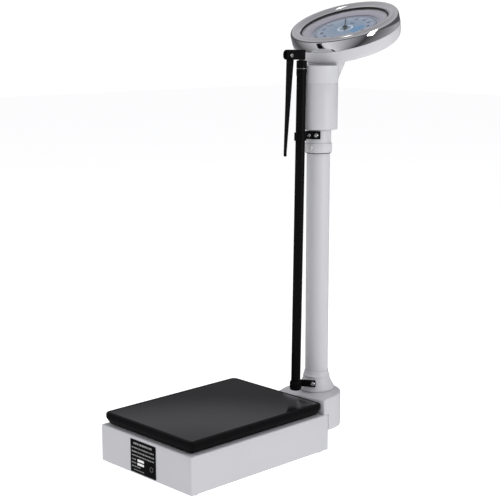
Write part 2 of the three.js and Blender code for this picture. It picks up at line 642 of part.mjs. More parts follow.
const feet = [
  foot("foot_front_left", -FOOT.x, FOOT.frontY), foot("foot_front_right", FOOT.x, FOOT.frontY),
  foot("foot_rear_left", -FOOT.x, FOOT.rearY), foot("foot_rear_right", FOOT.x, FOOT.rearY),
];
const beams = [
  fulcrumBeam("fulcrum_beam_front", LEVER.fulcrumFront, 102, LEVER.longZ),
  fulcrumBeam("fulcrum_beam_rear", LEVER.fulcrumRear, 60, LEVER.shortZ),
];
const platform = [platformCover(), platformMat(), platformFrame(), ...POSTS.map(platformPost)];
const levers = [longLever(), noseArm(), shortLever()];
const column = [riserHousing(), columnFoot(), columnTube(), columnCollar(), collarScrew()];
const needleTurn = new THREE.Matrix4().makeRotationZ(-NEEDLE_REST);
const needle = framed(needleTurn, pointerArbor(), pointerNeedle(), pointerCap());
const dial = framed(dialInHead, headHousing(), bezelRing(), glassGasket(), dialGlass(), dialSurround(),
  dialPlate(), movementFrame(), rack(), needle);
const head = framed(headMatrix, headSleeve(), crankPin(), drawRod(), crank(), dial);
const heightRod = framed(rodMatrix, rodOuterTube(), rodOuterCollar(), rodWasher(), rodMiddleTube(),
  rodMiddleCollar(), rodInnerTube(), hingeBlock(), pivotPin());
const brackets = [
  rodSocket(), bracketScrew("socket_screw", SOCKET_ANGLE, 40.8, 0, 135.9, 4.6, 6),
  rodClamp(), bracketScrew("clamp_screw", CLAMP_ANGLE, 30.8, 0, 678, 4.6, 3),
  bracketScrew("clamp_pinch_screw", CLAMP_ANGLE, 30.8, 15.3, 678, 3.6, 3),
];

const scale = new THREE.Group();
scale.name = "dial_column_scale";
scale.add(baseShell(), ...feet, nameplate(), ...beams, ...platform, ...levers, ...column, head, heightRod,
  ...brackets, measuringArm());

// origin on the floor under the middle of the whole scale
scale.updateMatrixWorld(true);
const bounds = new THREE.Box3().setFromObject(scale, true);
scale.position.set(-(bounds.min.x + bounds.max.x) / 2, -(bounds.min.y + bounds.max.y) / 2, -bounds.min.z);
scale.updateMatrixWorld(true);

export default scale;
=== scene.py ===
# Looks of the dial column scale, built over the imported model. Shapes and the camera's place are in
# millimetres, and MM turns them into metres. Lights are placed in metres. Materials take their coordinates
# in metres too, apart from the two of the dial face, which take them in millimetres. Pieces are placed
# from the scale's own frames: MODEL (X = 0 middle of the base, Y = 0 its front face, Z = 0 its lower
# edge), ON_COLUMN, HEAD, DIAL, NEEDLE and RODS.
import json
import math
import random

import bmesh
import bpy
from mathutils import Matrix, Vector

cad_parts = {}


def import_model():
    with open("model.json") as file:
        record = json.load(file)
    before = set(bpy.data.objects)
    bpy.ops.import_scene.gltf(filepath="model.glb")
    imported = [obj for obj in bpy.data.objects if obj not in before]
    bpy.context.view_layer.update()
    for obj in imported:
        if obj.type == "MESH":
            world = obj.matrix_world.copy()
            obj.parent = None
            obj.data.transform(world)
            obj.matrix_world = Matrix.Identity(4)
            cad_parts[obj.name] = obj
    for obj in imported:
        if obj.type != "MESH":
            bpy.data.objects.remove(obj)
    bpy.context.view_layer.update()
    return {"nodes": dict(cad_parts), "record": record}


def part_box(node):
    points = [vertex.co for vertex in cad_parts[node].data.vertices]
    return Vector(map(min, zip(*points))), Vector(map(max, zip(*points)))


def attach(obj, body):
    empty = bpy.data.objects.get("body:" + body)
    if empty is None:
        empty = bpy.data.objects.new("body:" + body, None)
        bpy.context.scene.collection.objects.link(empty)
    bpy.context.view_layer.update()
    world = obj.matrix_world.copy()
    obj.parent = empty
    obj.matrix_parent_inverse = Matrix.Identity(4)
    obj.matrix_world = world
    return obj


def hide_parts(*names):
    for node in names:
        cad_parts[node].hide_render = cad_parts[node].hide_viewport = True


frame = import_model()

# ------------------------------------------------------------------ dimensions
MM = 0.001
BASE = dict(width=288, depth=394, height=79, corner=2)
TREAD = dict(width=281, depth=377.5, front=3.2, top=105.8, bottom=81.2, corner=14)
RISER = dict(x=72, radius=72, front=381.5, centre=404.3, bottom=43.5, top=116)
SHOULDER = dict(left=20, left_fall=0.55, front=394, front_fall=0.33, soft=5)
COLUMN = (72, 431.6)
HEAD_TURN = math.radians(7.1)
DIAL_CENTRE = (0, 90.6, 912.3)
TILT = math.radians(21.2)
ROD_FOOT = (72, 365.6, 124.4)
LEAN = math.radians(1.051)
NEEDLE_REST = math.radians(-32)
FULL_SCALE = 120
SCALE_SWEEP = math.radians(317.68)
PIVOT = (-37.7, 720.9)
SOCKET_ANGLE = math.radians(-57.3)
CLAMP_ANGLE = math.radians(-56)
POSTS = ((-76, 90), (76, 90), (-62, 290), (62, 290))


def shift(x, y, z):
    return Matrix.Translation((x, y, z))


def turn(angle, axis):
    return Matrix.Rotation(angle, 4, axis)


shell_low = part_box("base_shell")[0]
MODEL = shift(shell_low.x / MM + BASE["width"] / 2, shell_low.y / MM, shell_low.z / MM)
ON_COLUMN = MODEL @ shift(COLUMN[0], COLUMN[1], 0)
HEAD = ON_COLUMN @ turn(HEAD_TURN, "Z")
DIAL = HEAD @ shift(*DIAL_CENTRE) @ turn(TILT, "X")
RODS = MODEL @ shift(*ROD_FOOT) @ turn(-LEAN, "X")
NEEDLE = DIAL @ turn(-NEEDLE_REST, "Z")
ALONG_X = turn(math.pi / 2, "Y")
# lays an outline drawn in (Y, height) upright, with its thickness along X
SIDEWAYS = Matrix(((0, 0, 1, 0), (1, 0, 0, 0), (0, 1, 0, 0), (0, 0, 0, 1)))
# lays an outline drawn in (along the bracket, height) on the bracket's plate
ON_LUG = Matrix(((0, 0, 1, 0), (-1, 0, 0, 0), (0, 1, 0, 0), (0, 0, 0, 1)))


# ------------------------------------------------------------------ materials
def shader(name, colour, roughness, metallic=0.0, specular=0.5):
    material = bpy.data.materials.new(name)
    material.use_nodes = True
    bsdf = material.node_tree.nodes["Principled BSDF"]
    bsdf.inputs["Base Color"].default_value = (*colour, 1)
    bsdf.inputs["Roughness"].default_value = roughness
    bsdf.inputs["Metallic"].default_value = metallic
    bsdf.inputs["Specular IOR Level"].default_value = specular
    material.diffuse_color = (*colour, 1)
    return material, bsdf


def add(material, kind, **values):
    node = material.node_tree.nodes.new(kind)
    for key, value in values.items():
        if hasattr(node, key):
            setattr(node, key, value)
        else:
            node.inputs[key.replace("_", " ")].default_value = value
    return node


def wire(material, out, target):
    material.node_tree.links.new(out, target)


def coordinates(material, stretch=(1, 1, 1)):
    place = add(material, "ShaderNodeTexCoord")
    mapping = add(material, "ShaderNodeMapping")
    mapping.inputs["Scale"].default_value = stretch
    wire(material, place.outputs["Object"], mapping.inputs["Vector"])
    return mapping.outputs["Vector"]


def noise(material, vector, scale, detail=3.0, roughness=0.5):
    node = add(material, "ShaderNodeTexNoise", Scale=scale, Detail=detail, Roughness=roughness)
    wire(material, vector, node.inputs["Vector"])
    return node.outputs["Fac"]


def spread(material, value, low, high, low_in=0.3, high_in=0.7):
    node = add(material, "ShaderNodeMapRange")
    for key, number in (("From Min", low_in), ("From Max", high_in), ("To Min", low), ("To Max", high)):
        node.inputs[key].default_value = number
    wire(material, value, node.inputs["Value"])
    return node.outputs["Result"]


def fill_ramp(node, stops):
    elements = node.color_ramp.elements
    while len(elements) < len(stops):
        elements.new(0.5)
    for element, (position, colour) in zip(elements, stops):
        element.position = position
        element.color = (*colour, 1)


def ramp(material, value, stops):
    node = add(material, "ShaderNodeValToRGB")
    fill_ramp(node, stops)
    wire(material, value, node.inputs["Fac"])
    return node.outputs["Color"]


def bump(material, bsdf, height, strength, distance):
    node = add(material, "ShaderNodeBump")
    node.inputs["Strength"].default_value = strength
    node.inputs["Distance"].default_value = distance
    wire(material, height, node.inputs["Height"])
    wire(material, node.outputs["Normal"], bsdf.inputs["Normal"])


def enamel(name, colour, roughness, specular, peel, shade):
    """Stoved enamel: faint orange peel, slightly uneven gloss and tone."""
    material, bsdf = shader(name, colour, roughness, 0.0, specular)
    vector = coordinates(material)
    cloud = noise(material, vector, 9.0, 4.0)
    darker = tuple(c * (1 - shade) for c in colour)
    wire(material, ramp(material, cloud, [(0.3, darker), (0.7, colour)]), bsdf.inputs["Base Color"])
    smear = noise(material, vector, 38.0, 5.0, 0.6)
    wire(material, spread(material, smear, roughness * 0.94, roughness * 1.06), bsdf.inputs["Roughness"])
    bump(material, bsdf, noise(material, vector, 620.0, 2.0), peel, 0.0001)
    return material


def bright_metal(name, colour, roughness, grain=(1, 1, 1), depth=0.05, metallic=1.0):
    """Polished or brushed metal with faint wiping marks."""
    material, bsdf = shader(name, colour, roughness, metallic)
    vector = coordinates(material, grain)
    wipe = noise(material, vector, 60.0, 6.0, 0.65)
    wire(material, spread(material, wipe, roughness * 0.7, roughness * 1.6), bsdf.inputs["Roughness"])
    bump(material, bsdf, noise(material, vector, 900.0, 2.0), depth, 0.0001)
    return material


def cast(name, colour):
    """Sand-cast iron under a thin dark wash."""
    material, bsdf = shader(name, colour, 0.62, 0.35)
    vector = coordinates(material)
    pits = noise(material, vector, 260.0, 6.0, 0.7)
    stain = noise(material, vector, 22.0, 4.0)
    light = tuple(min(1, c * 1.5) for c in colour)
    wire(material, ramp(material, stain, [(0.35, colour), (0.65, light)]), bsdf.inputs["Base Color"])
    wire(material, spread(material, pits, 0.5, 0.8), bsdf.inputs["Roughness"])
    bump(material, bsdf, pits, 0.5, 0.0006)
    return material


def soft_black(name):
    """Moulded rubber with a fine grain and a dusty bloom."""
    material, bsdf = shader(name, (0.012, 0.012, 0.013), 0.75)
    vector = coordinates(material)
    dust = noise(material, vector, 90.0, 5.0)
    wire(material, ramp(material, dust, [(0.4, (0.009, 0.009, 0.01)), (0.75, (0.03, 0.03, 0.03))]),
         bsdf.inputs["Base Color"])
    bump(material, bsdf, noise(material, vector, 1500.0, 2.0), 0.3, 0.0002)
    return material


def clear_glass(name):
    material, bsdf = shader(name, (0.85, 0.9, 0.95), 0.03)
    bsdf.inputs["Alpha"].default_value = 0.05
    vector = coordinates(material)
    smear = noise(material, vector, 30.0, 4.0)
    wire(material, spread(material, smear, 0.01, 0.06), bsdf.inputs["Roughness"])
    return material


def dial_frame(material):
    """Coordinates in the dial's own frame, in millimetres."""
    place = add(material, "ShaderNodeTexCoord")
    mapping = add(material, "ShaderNodeMapping", vector_type="TEXTURE")
    location, rotation, _ = DIAL.decompose()
    mapping.inputs["Location"].default_value = location * MM
    mapping.inputs["Rotation"].default_value = rotation.to_euler()
    mapping.inputs["Scale"].default_value = (MM, MM, MM)
    wire(material, place.outputs["Object"], mapping.inputs["Vector"])
    return mapping.outputs["Vector"]


def radius_of(material, vector):
    split = add(material, "ShaderNodeSeparateXYZ")
    wire(material, vector, split.inputs[0])
    join = add(material, "ShaderNodeCombineXYZ")
    wire(material, split.outputs["X"], join.inputs["X"])
    wire(material, split.outputs["Y"], join.inputs["Y"])
    length = add(material, "ShaderNodeVectorMath", operation="LENGTH")
    wire(material, join.outputs[0], length.inputs[0])
    return length.outputs["Value"]


def dial_paper(name):
    """Printed dial: blue in the middle, paler and warmer towards the rim."""
    material, bsdf = shader(name, (0.4, 0.52, 0.68), 0.55)
    vector = dial_frame(material)
    reach = spread(material, radius_of(material, vector), 0, 1, 0, 78)
    tone = ramp(material, reach, [(0.0, (0.22, 0.32, 0.45)), (0.45, (0.26, 0.35, 0.47)),
                                  (0.8, (0.38, 0.44, 0.55)), (1.0, (0.46, 0.48, 0.56))])
    wire(material, tone, bsdf.inputs["Base Color"])
    bump(material, bsdf, noise(material, vector, 6.0, 3.0), 0.1, 0.0001)
    return material


def grey_satin(name):
    material, bsdf = shader(name, (0.50, 0.48, 0.53), 0.45)
    vector = dial_frame(material)
    reach = spread(material, radius_of(material, vector), 0, 1, 70, 100)
    tone = ramp(material, reach, [(0.0, (0.27, 0.26, 0.31)), (0.25, (0.38, 0.36, 0.42)),
                                  (1.0, (0.52, 0.50, 0.54))])
    wire(material, tone, bsdf.inputs["Base Color"])
    bump(material, bsdf, noise(material, vector, 4.0, 2.0), 0.08, 0.0001)
    return material


def ink(name, colour):
    material, bsdf = shader(name, colour, 0.5)
    vector = coordinates(material)
    lighter = tuple(min(1, c * 1.25 + 0.01) for c in colour)
    wire(material, ramp(material, noise(material, vector, 400.0), [(0.3, colour), (0.7, lighter)]),
         bsdf.inputs["Base Color"])
    return material


PAINT = enamel("paint_light_grey", (0.59, 0.59, 0.615), 0.34, 0.35, 0.05, 0.02)
TREAD_BLACK = enamel("platform_black", (0.006, 0.006, 0.0075), 0.16, 0.42, 0.01, 0.1)
COVER_BLACK = enamel("cover_black", (0.005, 0.005, 0.0055), 0.40, 0.05, 0.02, 0.1)
BLACK = enamel("black_satin", (0.0045, 0.0045, 0.005), 0.38, 0.05, 0.03, 0.1)
CHROME = bright_metal("chrome", (0.86, 0.86, 0.87), 0.035, depth=0.01)
STEEL = bright_metal("bright_steel", (0.62, 0.62, 0.63), 0.22, (1, 1, 6))
ZINC = bright_metal("bright_zinc", (0.80, 0.80, 0.80), 0.35, metallic=0.35)
IRON = cast("cast_iron", (0.05, 0.052, 0.055))
RUBBER = soft_black("rubber")
GLASS = clear_glass("dial_glass")
PAPER = dial_paper("dial_blue")
RIM = grey_satin("dial_grey")
BRASS = bright_metal("brass", (0.62, 0.43, 0.16), 0.28, (1, 4, 1))
INK_DARK = ink("ink_dark", (0.015, 0.025, 0.06))
INK_BLUE = ink("ink_blue", (0.10, 0.26, 0.46))
INK_PALE = ink("ink_pale", (0.62, 0.68, 0.76))
INK_GREY = ink("ink_grey", (0.28, 0.28, 0.28))
INK_WHITE = ink("ink_white", (0.80, 0.80, 0.80))


# ------------------------------------------------------------------ mesh building
def mesh_of(points, faces):
    body = bmesh.new()
    verts = [body.verts.new(p) for p in points]
    for face in faces:
        body.faces.new([verts[i] for i in face])
    body.normal_update()
    return body


def arc(centre, radius, start, end, steps):
    for i in range(steps + 1):
        angle = start + (end - start) * i / steps
        yield centre[0] + radius * math.cos(angle), centre[1] + radius * math.sin(angle)


def rounded(profile):
    """Profile points as (r, z) or (r, z, fillet): each corner with a fillet becomes a short curve."""
    steps = 4
    done = []
    count = len(profile)
    for i, point in enumerate(profile):
        here = Vector(point[:2])
        if len(point) < 3 or point[2] <= 0:
            done.append(tuple(here))
            continue
        before = Vector(profile[i - 1][:2]) - here
        after = Vector(profile[(i + 1) % count][:2]) - here
        reach = min(point[2], before.length * 0.49, after.length * 0.49)
        a = here + before.normalized() * reach
        b = here + after.normalized() * reach
        for k in range(steps + 1):
            t = k / steps
            done.append(tuple(a.lerp(here, t).lerp(here.lerp(b, t), t)))
    return done


def flowing(points, steps=4):
    """Smooth line through the points, with steps pieces between one point and the next."""
    done = []
    for i in range(len(points) - 1):
        p0 = Vector(points[max(i - 1, 0)])
        p1 = Vector(points[i])
        p2 = Vector(points[i + 1])
        p3 = Vector(points[min(i + 2, len(points) - 1)])
        for k in range(steps):
            t = k / steps
            done.append(tuple(0.5 * ((2 * p1) + (p2 - p0) * t + (2 * p0 - 5 * p1 + 4 * p2 - p3) * t * t
                                     + (3 * p1 - p0 - 3 * p2 + p3) * t ** 3)))
    done.append(tuple(points[-1]))
    return done


def lathe(profile, steps=96):
    """Body of revolution about Z. The profile closes on itself, or starts and ends on the axis."""
    on_axis = profile[0][0] == 0 and profile[-1][0] == 0
    points = []
    rows = []
    for r, z in profile:
        if r == 0:
            rows.append([len(points)] * steps)
            points.append((0, 0, z))
            continue
        rows.append(list(range(len(points), len(points) + steps)))
        points += [(r * math.cos(2 * math.pi * i / steps), r * math.sin(2 * math.pi * i / steps), z)
                   for i in range(steps)]
    pairs = list(zip(rows, rows[1:]))
    if not on_axis:
        pairs.append((rows[-1], rows[0]))
    faces = []
    for low, high in pairs:
        for i in range(steps):
            j = (i + 1) % steps
            face = []
            for index in (low[i], low[j], high[j], high[i]):
                if index not in face:
                    face.append(index)
            if len(face) > 2:
                faces.append(face)
    body = mesh_of(points, faces)
    bmesh.ops.recalc_face_normals(body, faces=body.faces)
    return body


def loft(rings):
    """Solid through rings of equally many points, closed by flat ends."""
    count = len(rings[0])
    points = [p for ring in rings for p in ring]
    faces = []
    for level in range(len(rings) - 1):
        for i in range(count):
            a = level * count + i
            b = level * count + (i + 1) % count
            faces.append((a, b, b + count, a + count))
    faces.append(list(range(count))[::-1])
    faces.append(list(range(len(points) - count, len(points))))
    body = mesh_of(points, faces)
    bmesh.ops.recalc_face_normals(body, faces=body.faces)
    return body


def prism(outline, low, high):
    return loft([[(x, y, z) for x, y in outline] for z in (low, high)])


def block(x0, x1, y0, y1, z0, z1):
    return prism([(x0, y0), (x1, y0), (x1, y1), (x0, y1)], z0, z1)


def circle(centre, radius, steps):
    turns = [2 * math.pi * i / steps for i in range(steps)]
    return [(centre[0] + radius * math.cos(a), centre[1] + radius * math.sin(a)) for a in turns]


def bar(x, y, z0, z1, radius, steps=32):
    return prism(circle((x, y), radius, steps), z0, z1)


def moved(body, matrix):
    body.transform(matrix)
    return body


def cross_pin(x0, x1, y, z, radius):
    """Cylinder along X."""
    return moved(bar(0, 0, x0, x1, radius), shift(0, y, z) @ ALONG_X)


def rectangle(width, depth, radius, steps=8, centre=(0, 0)):
    points = []
    for sx, sy, start in ((1, -1, -90), (1, 1, 0), (-1, 1, 90), (-1, -1, 180)):
        corner = (centre[0] + sx * (width / 2 - radius), centre[1] + sy * (depth / 2 - radius))
        points += list(arc(corner, radius, math.radians(start), math.radians(start + 90), steps))
    return points


def to_object(body, name):
    data = bpy.data.meshes.new(name)
    body.to_mesh(data)
    body.free()
    piece = bpy.data.objects.new(name, data)
    bpy.context.scene.collection.objects.link(piece)
    return piece


def settle(piece):
    """Replaces the mesh of piece by the result of its modifiers."""
    graph = bpy.context.evaluated_depsgraph_get()
    data = bpy.data.meshes.new_from_object(piece.evaluated_get(graph))
    old = piece.data
    piece.modifiers.clear()
    piece.data = data
    bpy.data.meshes.remove(old)


def carve(body, *steps):
    """Applies ("cut", "join" or "keep", mesh) steps to body with exact booleans; returns the new mesh."""
    kinds = {"cut": "DIFFERENCE", "join": "UNION", "keep": "INTERSECT"}
    piece = to_object(body, "work")
    for kind, tool_body in steps:
        tool = to_object(tool_body, "tool")
        change = piece.modifiers.new("change", "BOOLEAN")
        change.operation = kinds[kind]
        change.solver = "EXACT"
        change.object = tool
        settle(piece)
        bpy.data.objects.remove(tool)
    result = bmesh.new()
    result.from_mesh(piece.data)
    bpy.data.objects.remove(piece)
    bmesh.ops.remove_doubles(result, verts=result.verts, dist=1e-4)
    return result


def gather(bodies):
    """All the bodies in one mesh, not joined to one another."""
    whole = bmesh.new()
    for body in bodies:
        data = bpy.data.meshes.new("part")
        body.to_mesh(data)
        body.free()
        whole.from_mesh(data)
        bpy.data.meshes.remove(data)
    return whole


def emit(name, body, matrix, rides, material, replaces=(), bevel=0.0, angle=32):
    """Finishes one visible piece: bevels and smooths it, puts it in place and ties it to its CAD body."""
    piece = to_object(body, name)
    if bevel:
        edge = piece.modifiers.new("edges", "BEVEL")
        edge.width = bevel
        edge.segments = 2
        edge.limit_method = "ANGLE"
        edge.angle_limit = math.radians(40)
        edge.use_clamp_overlap = True
        settle(piece)
    piece.data.transform(Matrix.Scale(MM, 4) @ matrix)
    piece.data.shade_smooth()
    piece.data.set_sharp_from_angle(angle=math.radians(angle))
    piece.data.materials.clear()
    piece.data.materials.append(material)
    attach(piece, rides)
    if replaces:
        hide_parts(*replaces)
    return piece


# ------------------------------------------------------------------ base
def slab_ring(size, centre, inset, z):
    radius = max(size["corner"] - inset, 1)
    return [(x, y, z) for x, y in rectangle(size["width"] - 2 * inset, size["depth"] - 2 * inset, radius,
                                            centre=(0, centre))]


def lever_slot(front):
    """Opening through which the long lever reaches from the base into the riser."""
    return block(COLUMN[0] - 7, COLUMN[0] + 7, front, 400, 46, 76)


def base_shell():
    middle = BASE["depth"] / 2
    rings = [(0.5, 0), (0, 0.6), (0, 76.4), (0.25, 77.4), (0.8, 78.2), (1.6, 78.8), (2.6, 79)]
    outer = loft([slab_ring(BASE, middle, inset, z) for inset, z in rings])
    hollow = block(-142, 142, 2, BASE["depth"] - 2, 1.6, 77)
    mouth = block(-122, 122, 22, BASE["depth"] - 22, -1, 10)
    slot = lever_slot(380)
    holes = [("cut", bar(x, y, 70, 90, 9)) for x, y in POSTS]
    body = carve(outer, ("cut", hollow), ("cut", mouth), ("cut", slot), *holes)
    emit("base_shell_enamel", body, MODEL, "base", PAINT, ["base_shell"], angle=25)


def feet():
    profile = rounded([(0, -4), (11, -4, 1.2), (10, -0.3, 0.4), (0, -0.3)])
    groove = rounded([(0, -4), (6, -4, 0.4), (6, -3.4, 0.2), (0, -3.4)])
    for side, x in (("left", -127), ("right", 127)):
        for end, y in (("front", 19), ("rear", 375)):
            body = carve(lathe(profile, 48), ("cut", moved(lathe(groove, 32), shift(0, 0, -0.1))))
            name = f"foot_{end}_{side}"
            emit(f"{name}_pad", body, MODEL @ shift(x, y, 0), "base", RUBBER, [name])


def nameplate():
    place = MODEL @ shift(-4.5, -0.3, 38) @ turn(math.pi / 2, "X")
    plate = prism(rectangle(81, 70, 1.5, 4), 0, 0.7)
    emit("nameplate_plate", plate, place, "base", BLACK, ["nameplate"], bevel=0.15)
    low = 0.65
    high = 0.78
    chance = random.Random(5)
    rows = ((27.5, -30, 28, 4.2), (18, -36, 36, 2.6), (9.5, -36, 36, 3.0), (1.5, -36, 36, 2.4),
            (-7, -36, -22, 2.4), (-14.5, -36, -22, 2.4), (-22, -36, -6, 2.2), (-29, -30, 6, 1.6))
    dashes = []
    for y, left, right, height in rows:
        x = left
        while x < right - 2:
            length = chance.uniform(1.6, 5.2)
            dashes.append(block(x, min(x + length, right), y - height / 2, y + height / 2, low, high))
            x += length + chance.uniform(0.9, 1.8)
    emit("nameplate_print", gather(dashes), place, "base", INK_GREY)
    windows = [prism(rectangle(21, 5.0, 1.2, 3, (-7.5, y)), low, 0.8) for y in (-7, -14.8)]
    emit("nameplate_windows", gather(windows), place, "base", INK_WHITE)
    ring = moved(lathe([(4.6, low), (5.2, low), (5.2, high), (4.6, high)], 32), shift(27, -16, 0))
    emit("nameplate_ring", ring, place, "base", INK_GREY)


# ------------------------------------------------------------------ platform
def platform():
    middle = TREAD["front"] + TREAD["depth"] / 2
    inside = [(3.6, 98.8), (4, 95), (7.2, 88.4), (11.4, 82.6), (11.8, 81.2)]
    wall = [(9, 81.2), (8.7, 81.7), (8.2, 82.7), (4.4, 87.9), (1.3, 92.9), (0.3, 95), (0, 96.4), (0, 101.6)]
    rim = [(0.25, 103.2), (0.9, 104.6), (1.9, 105.5), (3.2, 105.8), (7.6, 105.8), (7.9, 105.5), (8, 105.05)]
    cover = loft([slab_ring(TREAD, middle, inset, z) for inset, z in inside + wall + rim])
    emit("platform_cover_satin", cover, MODEL, "platform", COVER_BLACK,
         ["platform_cover"], angle=50)
    rings = [(8.4, 105.3), (8.4, 105.8), (8.6, 106), (9.0, 106.1)]
    mat = loft([slab_ring(TREAD, middle, inset, z) for inset, z in rings])
    emit("platform_mat_gloss", mat, MODEL, "platform", TREAD_BLACK,
         ["platform_mat"], angle=50)


# ------------------------------------------------------------------ riser and column
def riser_ring(inset, z):
    reach = RISER["radius"] - inset
    corner = max(4 - inset, 0.8)
    front = RISER["front"] + inset + corner
    points = []
    for side, start in ((-1, 180), (1, 270)):
        centre = (RISER["x"] + side * (reach - corner), front)
        points += list(arc(centre, corner, math.radians(start), math.radians(start + 90), 6))
    points += list(arc((RISER["x"], RISER["centre"]), reach, 0, math.pi, 64))
    return [(x, y, z) for x, y in points]


def shoulder_fall(x, y):
    """How far the riser's top falls away towards its left end and its front."""
    soft = SHOULDER["soft"]

    def bend(t):
        return 0 if t <= -soft else t if t >= soft else (t + soft) ** 2 / (4 * soft)

    return (SHOULDER["left_fall"] * bend(SHOULDER["left"] - x)
            + SHOULDER["front_fall"] * bend(SHOULDER["front"] - y))


def riser():
    def shell(inset, low, top, edge):
        rings = [riser_ring(inset, low)]
        for around, sunk in edge:
            ring = riser_ring(inset + around, top - sunk)
            rings.append([(x, y, z - shoulder_fall(x, y)) for x, y, z in ring])
        rings.append(riser_ring(20, top))
        return loft(rings)

    slope = [(reach, 0) for reach in (4, 6, 8, 10, 12, 14, 16, 18)]
    edge = [(0, 2.4), (0.15, 1.5), (0.6, 0.7), (1.3, 0.2), (2.2, 0)]
    outer = shell(0, RISER["bottom"], RISER["top"], edge + slope)
    inner = carve(shell(2, RISER["bottom"] + 2, RISER["top"] - 2, [(0, 0.8), (1, 0), (6, 0), (12, 0)]),
                  ("cut", block(-1, 145, 375, 396.3, 0, 81.3)))
    body = carve(outer, ("cut", block(-1, 145, 375, 394.3, 0, 79.3)), ("cut", inner),
                 ("cut", lever_slot(390)),
                 ("cut", bar(COLUMN[0], COLUMN[1], 110, 120, 20, 48)))
    emit("riser_housing_enamel", body, MODEL, "base", PAINT, ["riser_housing"], angle=32)


def column():
    bell = flowing([(39.8, 119.6), (38.4, 123), (34.8, 129.5), (31.2, 137), (29.2, 143.2)], 4)
    neck = [(28.6, 144.2), (29.3, 145.4), (29.3, 147.6), (28.4, 149), (27.2, 151), (26.2, 158), (25.3, 158)]
    foot = [(25.3, 116.3), (39.2, 116.3), (39.8, 117)] + bell + neck
    emit("column_foot_enamel", lathe(foot, 128), ON_COLUMN, "base", PAINT, ["column_foot"])
    tube = rounded([(23, 116.3), (25, 116.3, 0.4), (25, 788, 0.6), (23, 788)])
    emit("column_tube_enamel", lathe(tube, 128), ON_COLUMN, "base", PAINT, ["column_tube"])
    collar = rounded([(25.3, 640), (29, 640, 1.0), (29, 660, 1.0), (27.2, 660, 0.3), (27.2, 688.5, 0.5),
                      (25.3, 688.5)])
    emit("column_collar_enamel", lathe(collar, 128), ON_COLUMN, "base", PAINT, ["column_collar"])
    # Painted shade: this thin dark rubber ring under the collar's lower edge stands for the shade in the gap
    # line there, not for a seal.
    gap_shade = rounded([(25.15, 638.5), (27.6, 638.5), (27.6, 639.7, 0.3), (25.15, 639.7)])
    emit("collar_gap_shade_ring", lathe(gap_shade, 96), ON_COLUMN, "base", RUBBER)


def screw(radius, height, socket, shank=0.0):
    """Button-head screw with a hexagon socket, its axis along +Z, standing on z = 0."""
    side = rounded([(radius * 0.96, 0), (radius, 0.3), (radius, height * 0.55, height * 0.3),
                    (radius * 0.7, height, 0.5)])
    head = lathe([(0, 0)] + side + [(0, height)], 32)
    changes = [("cut", bar(0, 0, height * 0.45, height + 1, socket, 6))]
    if shank:
        changes.append(("join", bar(0, 0, -shank, 0.1, 2, 16)))
    return carve(head, *changes)


def collar_screw():
    place = ON_COLUMN @ turn(-math.pi / 2 + HEAD_TURN, "Z") @ shift(29.3, 0, 651.5) @ ALONG_X
    emit("collar_screw_bright", screw(6, 3, 3.1), place, "base", ZINC, ["collar_screw"])


# ------------------------------------------------------------------ head
PAN = [(0, -50.5), (105, -50.5, 2.2), (111, -49, 2.0), (116, -43, 3.0), (118, -34, 3.0), (119, -20.8, 0.3)]


def head_sleeve():
    def gusset(radius):
        slant = 0.7
        low = 793.8
        rings = []
        for z in (low, 860):
            rings.append([(x, y, z) for x, y in circle((0, slant * (z - low)), radius, 96)])
        return loft(rings)

    def pan_tool(grow):
        outline = [(r + grow if r else 0, h - grow) for r, h in rounded(PAN)]
        return moved(lathe(outline + [(119.4 + grow, 60), (0, 60)], 96), HEAD.inverted() @ DIAL)

    def under_pan(radius):
        return moved(lathe([(0, -240), (radius, -240), (radius, -20), (0, -20)], 96), HEAD.inverted() @ DIAL)

    lower = rounded([(40.35, 689.5, 0.8), (40.9, 786.6, 0.2)])
    upper = [(40.6, 787.2), (40.95, 787.8), (41.8, 824)]
    wall = lathe([(0, 689.5)] + lower + upper + [(0, 824)], 128)
    hollow = lathe([(0, 692.5), (38, 692.5), (38, 821), (0, 821)], 96)
    support = carve(gusset(40.6), ("keep", under_pan(112.9)), ("cut", pan_tool(0.3)))
    pocket = carve(gusset(38.1), ("keep", under_pan(110.3)), ("cut", pan_tool(2.9)))
    body = carve(wall, ("join", support), ("cut", hollow), ("cut", pocket),
                 ("cut", block(-4, 4, 9, 33, 815, 850)), ("cut", bar(0, 0, 688, 696, 25.3, 96)))
    emit("head_sleeve_enamel", body, HEAD, "base", PAINT, ["head_sleeve"], angle=30)


def head_housing():
    spigot = [(117.2, -20.8), (117.2, -6), (114.8, -6), (114.8, -22)]
    inner = spigot + [(115.5, -34), (113.4, -42.5), (109.5, -46.6), (104.5, -48), (0, -48)]
    body = carve(lathe(rounded(PAN) + inner, 160), ("cut", block(-4, 4, -107, -80, -52, -46)))
    emit("head_housing_enamel", body, DIAL, "base", PAINT, ["head_housing"], angle=30)


def bezel():
    crest = flowing([(95.5, 0.4), (98, 3.4), (102.5, 6.2), (107.5, 7.4), (112.5, 6.8), (116.3, 4.4),
                     (118.5, 0.6), (119.2, -4)], 6)
    skirt = [(119.2, -20.1), (118.9, -20.5), (117.6, -20.5), (117.6, -3.5)]
    under = [(113.6, 3), (107.3, 5), (101.5, 3), (98.8, -0.5), (95.8, -0.5)]
    ring = lathe(crest + skirt + under, 192)
    emit("bezel_ring_chrome", ring, DIAL, "base", CHROME, ["bezel_ring"], angle=40)
    gasket = rounded([(93.8, -2.3), (104, -2.3), (104, -0.9), (93.8, -0.9, 0.5)])
    emit("glass_gasket_rubber", lathe(gasket, 128), DIAL, "base", RUBBER, ["glass_gasket"])
    glass = [(0, -5.1)] + rounded([(112, -5.1, 0.3), (112, -2.6, 0.3)]) + [(0, -2.6)]
    emit("dial_glass_clear", lathe(glass, 128), DIAL, "base", GLASS, ["dial_glass"])


